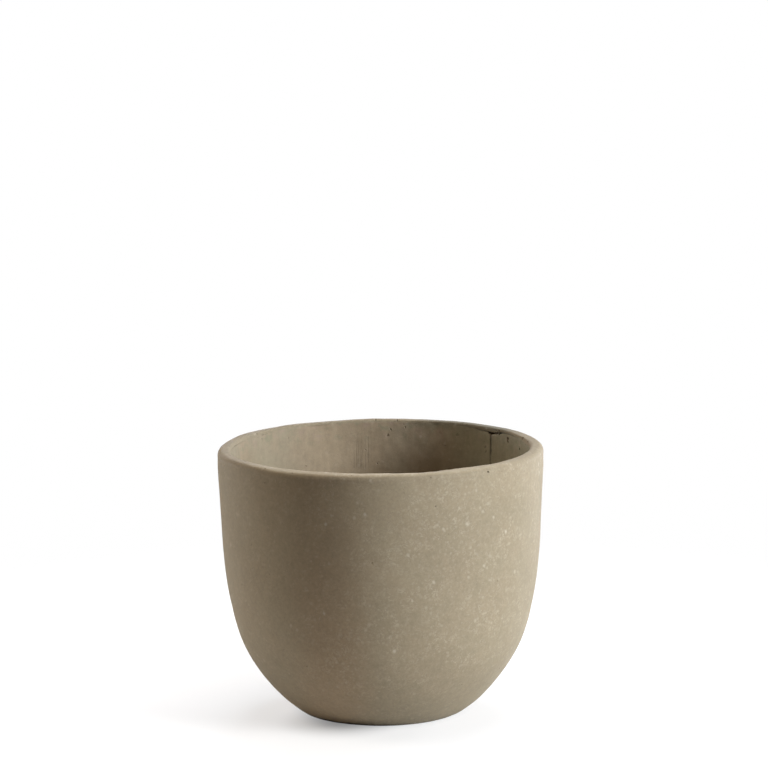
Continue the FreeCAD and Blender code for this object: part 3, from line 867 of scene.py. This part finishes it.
def inner_pits():
    rng = np.random.default_rng(21)
    seen = [
        # pits, then flat stains
        (143.6, 316.7, 1.3, 0.9, 0.65), (142.2, 316.0, 0.8, 0.5, 0.5), (144.4, 311.3, 0.9, 0.5, 0.4), (87.0, 301.4, 2.2, 0.5, 0.5), (85.8, 308.7, 1.5, 0.5, 0.5), (80.0, 311.9, 1.1, 0.7, 0.45), (63.0, 290.5, 0.9, 0.6, 0.45),
        (35.2, 315.6, 1.4, 1.4, 0.8), (29.0, 312.0, 2.1, 1.3, 1.0), (28.9, 308.2, 1.9, 1.2, 0.9), (18.6, 304.2, 1.8, 1.0, 0.9), (18.9, 306.4, 1.2, 0.6, 0.6), (31.4, 305.2, 0.8, 0.5, 0.3), (19.4, 312.4, 0.9, 0.7, 0.4), (11.6, 313.4, 1.0, 0.8, 0.45),
        (57.4, 305.7, 2.8, 0.15, 0.34), (65.4, 306.6, 2.2, 0.1, 0.22), (43.2, 295.2, 2.2, 0.3, 0.50), (42.7, 290.0, 1.9, 0.3, 0.45), (43.9, 301.4, 1.2, 0.2, 0.25), (80.6, 315.4, 1.3, 0.1, 0.3), (129.8, 306.3, 1.4, 0.2, 0.3), (96.0, 283.0, 1.0, 0.4, 0.35),
    ]
    left, right = [], []

    def drop(deg, z, a, dep, dark=0.55):
        r = inner_r(z)
        t = math.radians(deg)
        p = ((r * math.cos(t), r * math.sin(t), z), a, dep, int(rng.integers(1 << 30)), dark)
        (left if 0 <= (deg - SEAM_DEG) % 360 < 180 else right).append(p)

    for s in seen:
        drop(*s)
    for _ in range(150):
        z = 312 - 285 * rng.uniform() ** 1.5
        deg = rng.uniform(0, 360)
        # the part of the wall that has its own pits is left as it is
        if z > 270 and 5 < deg < 160:
            continue
        drop(deg, z, rng.uniform(0.6, 1.6), rng.uniform(0.5, 1.2), rng.uniform(0.2, 0.6))
    return left, right


LEFT_PITS, RIGHT_PITS = inner_pits()
left = add("coat_left", make_backing("left_backing_visual", SEAM_DEG, 31, LEFT_PITS), BACK, "pot", "backing_concrete", "left_backing")
right = add("coat_right", make_backing("right_backing_visual", SEAM_DEG + 180, 51, RIGHT_PITS), BACK, "pot", "backing_concrete", "right_backing")


# ------------------------------------------------------------------ floor of the pot
def make_screed():
    z0 = UNDERSIDE + BASE_T + BOND
    side = offset_curve(WALL + BOND, z0, SCREED_TOP + 1.6, 60)
    rt = side[-1, 0]
    cove = np.array([(rt, SCREED_TOP + 1.6), (rt - 2.2, SCREED_TOP + 0.5), (rt - 6.0, SCREED_TOP)])
    parts = [
        ([(drain_r(z0), z0), side[0]], 30.0, "hidden", 0.1),
        (side, 3.0, "hidden", 0.1),
        (cove, 1.0, "top", 1.0),
        ([cove[-1], (DISH_R_OUT, SCREED_TOP), (DISH_R_IN + 2, SCREED_DISH + 0.05), (DISH_R_IN - 2, SCREED_DISH)], 1.9, "top", 1.0),
        ([(DISH_R_IN - 2, SCREED_DISH), (drain_r(SCREED_DISH), SCREED_DISH)], 1.5, "seat", 1.0),
        ([(drain_r(SCREED_DISH), SCREED_DISH), (drain_r(z0), z0)], 1.5, "bore", 1.0),
    ]
    loop, tags, share = chain(parts)
    ang = np.linspace(0, 2 * np.pi, 360, endpoint=False)
    slow, mid, swirl = waves(71, 30, 80), waves(72, 7, 16), waves(73, 6, 14)
    gain = np.where(tags == "top", 1.0, 0.0)

    def move(P, N, ring, col):
        r = np.hypot(P[:, 0], P[:, 1])
        a = np.arctan2(P[:, 1], P[:, 0])
        # trowel sweeps run round the pot
        S = np.column_stack([r, 22 * np.cos(a), 22 * np.sin(a)])
        k = gain[ring] * smooth01(24, 34, r)
        return P + N * (k * (0.22 * slow(P) + 0.07 * mid(P) + 0.10 * swirl(S)))[:, None]

    me = sweep("base_screed_visual", loop, share, ang, True, move)
    rng = np.random.default_rng(77)
    pits = []
    for _ in range(34):
        rr, t = rng.uniform(34, 88), rng.uniform(0, 2 * math.pi)
        zz = SCREED_DISH + (SCREED_TOP - SCREED_DISH) * min(1.0, (rr - DISH_R_IN) / (DISH_R_OUT - DISH_R_IN))
        pits.append(((rr * math.cos(t), rr * math.sin(t), zz), rng.uniform(0.5, 1.4), rng.uniform(0.4, 0.9), int(rng.integers(1 << 30)), rng.uniform(0.2, 0.6)))
    pit_mesh(me, pits)
    finish_mesh(me, 40)
    return me


screed = add("floor_screed", make_screed(), BACK, "pot", "backing_concrete", "base_screed")


# ------------------------------------------------------------------ floor pads
def make_pads():
    bm = bmesh.new()
    uvl = bm.loops.layers.uv.new("OFBake")
    edge_w = waves(91, 2, 6)
    prof = [(0.0, 0.0), (4.0, 0.0), (8.0, 0.0), (11.4, 0.0), (12.3, 0.12), (12.75, 0.42), (12.9, 0.9), (12.92, 1.5), (12.9, 2.1), (12.8, 2.5), (12.5, 2.58), (8.0, 2.58), (0.0, 2.58)]
    n = 72
    for i in range(4):
        t = math.radians(45 + 90 * i)
        cx, cy = PAD_CIRCLE * math.cos(t), PAD_CIRCLE * math.sin(t)
        rows = []
        for r, z in prof:
            if r == 0:
                rows.append([bm.verts.new(Vector((cx, cy, z)) * MM)])
                continue
            pts = []
            for j in range(n):
                a = 2 * math.pi * j / n
                p = np.array([[cx + r * math.cos(a), cy + r * math.sin(a), z]])
                k = 0.10 * float(edge_w(p)[0]) * (1 if r > 11 else 0)
                pts.append(bm.verts.new(Vector((cx + (r + min(0.05, k)) * math.cos(a), cy + (r + min(0.05, k)) * math.sin(a), z)) * MM))
            rows.append(pts)
        for q, (A, B) in enumerate(zip(rows, rows[1:])):
            for j in range(n):
                j2 = (j + 1) % n
                if len(A) == 1:
                    f = bm.faces.new((A[0], B[j2], B[j]))
                elif len(B) == 1:
                    f = bm.faces.new((A[j], A[j2], B[0]))
                else:
                    f = bm.faces.new((A[j], A[j2], B[j2], B[j]))
                for l in f.loops:
                    w = l.vert.co / MM
                    up = 0.0 if q < len(prof) // 2 else 1.0
                    l[uvl].uv = ((i + 0.5 + (w.x - cx) / 28.0) / 4.0, (up + 0.5 + (w.y - cy) / 28.0) / 2.0)
    me = bpy.data.meshes.new("floor_pads_visual")
    bm.to_mesh(me)
    bm.free()
    finish_mesh(me, 50)
    return me


pads = add("felt_pads", make_pads(), felt(), "pot", "pad_felt", "floor_pads")


# ------------------------------------------------------------------ drain plug
def lathe(bm, prof, n=160):
    # closed turned solid from (radius, height) points that start and end on the axis
    rows = []
    for r, z in prof:
        if r == 0:
            rows.append([bm.verts.new(Vector((0, 0, z)) * MM)])
        else:
            rows.append([bm.verts.new(Vector((r * math.cos(2 * math.pi * j / n), r * math.sin(2 * math.pi * j / n), z)) * MM) for j in range(n)])
    for A, B in zip(rows, rows[1:]):
        for j in range(n):
            j2 = (j + 1) % n
            if len(A) == 1:
                bm.faces.new((A[0], B[j2], B[j]))
            elif len(B) == 1:
                bm.faces.new((A[j], A[j2], B[0]))
            else:
                bm.faces.new((A[j], A[j2], B[j2], B[j]))


def lofted(bm, stations):
    # closed solid through rounded rectangles given as (height, half length, half width)
    rows = []
    for z, hx, hy in stations:
        ring = []
        rr = min(hx, hy) * 0.85
        for cx, cy, a0 in ((hx - rr, hy - rr, 0), (-hx + rr, hy - rr, 90), (-hx + rr, -hy + rr, 180), (hx - rr, -hy + rr, 270)):
            for k in range(9):
                a = math.radians(a0 + 90 * k / 8)
                ring.append(bm.verts.new(Vector((cx + rr * math.cos(a), cy + rr * math.sin(a), z)) * MM))
        rows.append(ring)
    n = len(rows[0])
    for A, B in zip(rows, rows[1:]):
        for j in range(n):
            j2 = (j + 1) % n
            bm.faces.new((A[j], A[j2], B[j2], B[j]))
    bm.faces.new(rows[0][::-1])
    bm.faces.new(rows[-1])


def bead_along_x(bm, prof, z0, n=64):
    # closed turned solid about the X direction from (radius, place) points
    rows = []
    for r, x in prof:
        if r == 0:
            rows.append([bm.verts.new(Vector((x, 0, z0)) * MM)])
        else:
            rows.append([bm.verts.new(Vector((x, r * math.cos(2 * math.pi * j / n), z0 + r * math.sin(2 * math.pi * j / n))) * MM) for j in range(n)])
    for A, B in zip(rows, rows[1:]):
        for j in range(n):
            j2 = (j + 1) % n
            if len(A) == 1:
                bm.faces.new((A[0], B[j2], B[j]))
            elif len(B) == 1:
                bm.faces.new((A[j], A[j2], B[0]))
            else:
                bm.faces.new((A[j], A[j2], B[j2], B[j]))


def make_plug():
    bm = bmesh.new()
    zf = SCREED_DISH + 0.1
    stem = []
    # tapered stem with three grooves, hollow from below
    for z in np.arange(6.4, 18.4, 0.2):
        groove = sum(0.75 * math.exp(-((z - c) / 0.42) ** 4) for c in (9.0, 12.0, 15.0))
        stem.append((drain_r(z) - 0.24 - groove, z))
    low = drain_r(6.4) - 0.24
    prof = [(0, 10.2), (6.6, 10.2), (7.5, 9.9), (7.9, 9.2), (8.2, 5.3), (8.7, 4.7), (9.4, 4.55), (low - 1.3, 4.55), (low - 0.4, 5.0)] + stem
    prof += [(drain_r(zf) - 0.3, zf + 0.06), (16.2, zf + 0.06), (17.0, zf - 0.02), (17.8, zf + 0.06), (19.0, zf + 0.08), (19.7, zf + 0.35), (19.95, zf + 0.95)]
    prof += [(19.95, zf + 1.7), (19.6, zf + 2.5), (18.9, zf + 2.9), (18.0, zf + 3.0), (16.9, zf + 2.95), (16.3, zf + 2.5), (15.4, zf + 2.3), (14.2, zf + 2.35), (13.4, zf + 2.7), (12.4, zf + 2.85), (6.0, zf + 2.95), (0, zf + 2.95)]
    lathe(bm, prof)
    # finger tab: a waisted web on a spread foot, with a ribbed bead on top
    lofted(bm, [(20.2, 13.0, 4.6), (21.3, 12.9, 4.4), (22.0, 12.5, 3.6), (23.0, 12.1, 2.8), (25.0, 11.8, 2.35), (28.0, 11.7, 2.3), (32.0, 11.4, 2.4)])
    ends = [(3.62 * math.sin(a), -8.2 - 3.62 * math.cos(a)) for a in np.linspace(0, math.pi / 2, 12)]
    ends[0] = (0, ends[0][1])
    ribs = []
    for x in np.arange(-8.0, 8.01, 0.2):
        rib = sum(0.34 * math.exp(-((x - c) / 0.55) ** 4) for c in (-6.0, -3.6, -1.2, 1.2, 3.6, 6.0))
        ribs.append((3.62 + rib, x))
    bead_along_x(bm, ends + ribs + [(r, -x) for r, x in ends[::-1]], 32.0)
    bmesh.ops.recalc_face_normals(bm, faces=bm.faces)
    me = bpy.data.meshes.new("plug_raw")
    bm.to_mesh(me)
    bm.free()
    o = bpy.data.objects.new("plug_raw", me)
    scene.collection.objects.link(o)
    # one moulding: the three shapes run into each other with soft corners
    mod = o.modifiers.new("join", "REMESH")
    mod.mode = "VOXEL"
    mod.voxel_size = 0.30 * MM
    soft = o.modifiers.new("soft", "SMOOTH")
    soft.factor = 0.5
    soft.iterations = 5
    dg = bpy.context.evaluated_depsgraph_get()
    new = bpy.data.meshes.new_from_object(o.evaluated_get(dg), depsgraph=dg)
    bpy.data.objects.remove(o)
    bpy.data.meshes.remove(me)
    new.name = "drain_plug_visual"
    # picture map: a tile for each direction of each part of the plug
    layer = new.uv_layers.new(name="OFBake")
    for f in new.polygons:
        c, nn = f.center / MM, f.normal
        k = max(range(3), key=lambda q: abs(nn[q]))
        side = 2 * k + (nn[k] > 0)
        part = 3 if c.z < 10.6 and math.hypot(c.x, c.y) < 8.9 else (0 if c.z < 18.4 else (1 if c.z < 21.9 else 2))
        a, b = [q for q in range(3) if q != k]
        for l in f.loop_indices:
            w = new.vertices[new.loops[l].vertex_index].co / MM
            w = (w.x, w.y, w.z - 20.0)
            layer.data[l].uv = ((side + 0.5 + w[a] / 44.0) / 6.0, (part + 0.5 + w[b] / 44.0) / 4.0)
    new.shade_smooth()
    return new


plug = add("rubber_plug", make_plug(), rubber(), "plug", "plug_rubber", "drain_plug")

# ------------------------------------------------------------------ carried-over pieces
SCRIM = scrim()
for node in ("wall_mesh", "base_mesh"):
    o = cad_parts[node]
    o.data.materials.clear()
    o.data.materials.append(SCRIM)

# ------------------------------------------------------------------ stage, light and camera
def make_floor(name, z, color, glow, pooled=False):
    # a wide pale disc that fades out at the edge of the set
    b = bmesh.new()
    bmesh.ops.create_circle(b, cap_ends=True, segments=96, radius=40.0)
    me = bpy.data.meshes.new(name)
    b.to_mesh(me)
    b.free()
    o = bpy.data.objects.new(name, me)
    o.location.z = z * MM
    scene.collection.objects.link(o)
    mat = bpy.data.materials.new(name)
    mat.use_nodes = True
    nt = mat.node_tree
    nt.nodes.clear()
    out = nt.nodes.new("ShaderNodeOutputMaterial")
    mix = nt.nodes.new("ShaderNodeMixShader")
    dif = nt.nodes.new("ShaderNodeBsdfDiffuse")
    dif.inputs["Color"].default_value = (*color, 1)
    em = nt.nodes.new("ShaderNodeEmission")
    em.inputs["Color"].default_value = (*glow, 1)
    add_ = nt.nodes.new("ShaderNodeAddShader")
    clear = nt.nodes.new("ShaderNodeBsdfTransparent")
    tc = nt.nodes.new("ShaderNodeTexCoord")
    if pooled:
        # the white sheet is shaded in front of the foot at the left, away from the light
        last = tc.outputs["Object"]
        for op, val in (("SUBTRACT", (-0.053, -0.073, 0.0)), ("DIVIDE", (0.046, 0.054, 1.0)), ("LENGTH", None)):
            step = nt.nodes.new("ShaderNodeVectorMath")
            step.operation = op
            nt.links.new(last, step.inputs[0])
            if val:
                step.inputs[1].default_value = val
            last = step.outputs["Value"] if op == "LENGTH" else step.outputs[0]
        pool = nt.nodes.new("ShaderNodeMapRange")
        pool.interpolation_type = "SMOOTHSTEP"
        for k, val in enumerate((0.0, 1.75, 0.38, 1.0)):
            pool.inputs[k + 1].default_value = val
        nt.links.new(last, pool.inputs[0])
        part = nt.nodes.new("ShaderNodeSeparateXYZ")
        nt.links.new(tc.outputs["Object"], part.inputs[0])
        side = nt.nodes.new("ShaderNodeMapRange")
        side.interpolation_type = "SMOOTHSTEP"
        for k, val in enumerate((-0.02, 0.08, 1.0, 1.07)):
            side.inputs[k + 1].default_value = val
        nt.links.new(part.outputs[0], side.inputs[0])
        both = nt.nodes.new("ShaderNodeMath")
        both.operation = "MULTIPLY"
        nt.links.new(pool.outputs[0], both.inputs[0])
        nt.links.new(side.outputs[0], both.inputs[1])
        nt.links.new(both.outputs[0], em.inputs["Strength"])
    length = nt.nodes.new("ShaderNodeVectorMath")
    length.operation = "LENGTH"
    far = nt.nodes.new("ShaderNodeMapRange")
    far.interpolation_type = "SMOOTHSTEP"
    far.inputs[1].default_value = 0.5
    far.inputs[2].default_value = 1.0
    nt.links.new(tc.outputs["Object"], length.inputs[0])
    nt.links.new(length.outputs["Value"], far.inputs[0])
    nt.links.new(far.outputs[0], mix.inputs[0])
    nt.links.new(dif.outputs[0], add_.inputs[0])
    nt.links.new(em.outputs[0], add_.inputs[1])
    nt.links.new(add_.outputs[0], mix.inputs[1])
    nt.links.new(clear.outputs[0], mix.inputs[2])
    nt.links.new(mix.outputs[0], out.inputs[0])
    me.materials.append(mat)
    return o


# the floor that is seen, and the one just under it that throws light back up on the pot
floor = make_floor("floor", 0.0, (0.313, 0.306, 0.307), (0.60, 0.60, 0.605), True)
floor.visible_diffuse = floor.visible_glossy = floor.visible_transmission = floor.visible_shadow = False
bounce = make_floor("floor_bounce", -0.2, (0.88, 0.88, 0.88), (0.0, 0.0, 0.0))
bounce.visible_camera = False

# white backdrop for the eye, a dim warm room for the light
world = bpy.data.worlds.new("studio")
scene.world = world
world.use_nodes = True
wnt = world.node_tree
wnt.nodes.clear()
w_out = wnt.nodes.new("ShaderNodeOutputWorld")
w_bg = wnt.nodes.new("ShaderNodeBackground")
w_path = wnt.nodes.new("ShaderNodeLightPath")
w_mix = wnt.nodes.new("ShaderNodeMix")
w_mix.data_type = "RGBA"
w_mix.inputs[6].default_value = (0.081, 0.053, 0.028, 1)
w_mix.inputs[7].default_value = (1, 1, 1, 1)
wnt.links.new(w_path.outputs["Is Camera Ray"], w_mix.inputs[0])
wnt.links.new(w_mix.outputs[2], w_bg.inputs[0])
wnt.links.new(w_bg.outputs[0], w_out.inputs[0])


def softbox(name, az, el, dist, size, power, color=(1, 1, 1)):
    # az is counted from +X, anticlockwise seen from above
    a, e = math.radians(az), math.radians(el)
    L = bpy.data.lights.new(name, "AREA")
    L.shape = "DISK"
    L.size = size
    L.energy = power
    L.color = color
    o = bpy.data.objects.new(name, L)
    scene.collection.objects.link(o)
    at = Vector((0, 0, 0.16))
    o.location = at + Vector((math.cos(a) * math.cos(e), math.sin(a) * math.cos(e), math.sin(e))) * dist
    o.rotation_euler = (at - o.location).to_track_quat("-Z", "Y").to_euler()
    o.visible_camera = False
    return o


# soft lights round the pot: name, direction, height in degrees, watts, tint
for lamp, az, el, watts, tint in (
    ("back_right_low", 45, 5, 51.0, (0.78, 0.83, 0.92)),
    ("back_left_low", 135, 5, 13.9, (0.78, 0.84, 0.92)),
    ("back_left_low_2", 150, 5, 18.3, (0.75, 0.92, 1.00)),
    ("left_low", 165, 5, 10.1, (1.00, 0.90, 0.78)),
    ("front_right_low", 330, 5, 2.4, (0.63, 0.97, 1.00)),
    ("right_low", 345, 5, 18.6, (0.82, 0.86, 0.92)),
    ("back", 90, 22, 1.5, (0.80, 0.85, 0.95)),
    ("back_2", 105, 22, 14.3, (1.00, 0.93, 0.94)),
    ("left", 165, 22, 14.0, (1.00, 0.88, 0.68)),
    ("front_right", 330, 22, 69.0, (0.90, 0.97, 1.00)),
    ("right", 345, 22, 46.5, (0.89, 0.97, 1.00)),
    ("back_right_high", 45, 40, 3.4, (0.74, 0.90, 1.00)),
    ("back_right_high_2", 60, 40, 5.5, (0.80, 0.86, 0.95)),
    ("back_high", 75, 40, 11.3, (0.82, 0.87, 0.95)),
    ("back_high_2", 90, 40, 19.3, (0.73, 0.88, 1.00)),
    ("left_high", 165, 40, 26.4, (1.00, 0.89, 0.74)),
    ("front_right_high", 330, 40, 23.2, (0.97, 0.92, 0.82)),
    ("back_right_top", 45, 60, 7.3, (1.00, 0.90, 0.66)),
):
    softbox(lamp, az, el, 3.0, 0.9, watts, tint)
# a wide overhead light for the seen floor alone
overhead = softbox("floor_top", 0, 90, 3.0, 2.0, 50.0)
only_floor = bpy.data.collections.new("only_floor")
only_floor.objects.link(floor)
overhead.light_linking.receiver_collection = only_floor

# camera: distance and elevation from the middle of the pot, and where that point falls in the 768 px frame
CAM_E, CAM_D, CAM_F, CAM_U, CAM_V, CAM_ROLL = 0.21825, 3938.0, 3256.44, 381.625, 576.172, 0.00977


def place_camera():
    e = CAM_E
    pos = np.array([0, -CAM_D * math.cos(e), 160.2 + CAM_D * math.sin(e)])
    fwd = np.array([0, math.cos(e), -math.sin(e)])
    rgt = np.array([1.0, 0, 0])
    up = np.array([0, math.sin(e), math.cos(e)])
    c, s = math.cos(CAM_ROLL), math.sin(CAM_ROLL)
    M = np.stack([c * rgt - s * up, s * rgt + c * up, fwd])
    t = np.array([(CAM_U - 384) / CAM_F, -(CAM_V - 384) / CAM_F, 1.0])
    t /= np.linalg.norm(t)
    ax = np.cross([0, 0, 1], t)
    sa = np.linalg.norm(ax)
    k = ax / sa
    K = np.array([[0, -k[2], k[1]], [k[2], 0, -k[0]], [-k[1], k[0], 0]])
    M = (np.eye(3) + sa * K + (1 - t[2]) * K @ K) @ M
    cam = bpy.data.cameras.new("camera")
    cam.sensor_fit = "HORIZONTAL"
    cam.sensor_width = 36.0
    cam.lens = CAM_F / 768.0 * 36.0
    cam.clip_end = 100.0
    o = bpy.data.objects.new("camera", cam)
    scene.collection.objects.link(o)
    o.matrix_world = Matrix((
        (M[0][0], M[1][0], -M[2][0], pos[0] * MM),
        (M[0][1], M[1][1], -M[2][1], pos[1] * MM),
        (M[0][2], M[1][2], -M[2][2], pos[2] * MM),
        (0, 0, 0, 1)))
    scene.camera = o


place_camera()
scene.view_settings.view_transform = "Standard"
scene.view_settings.look = "None"
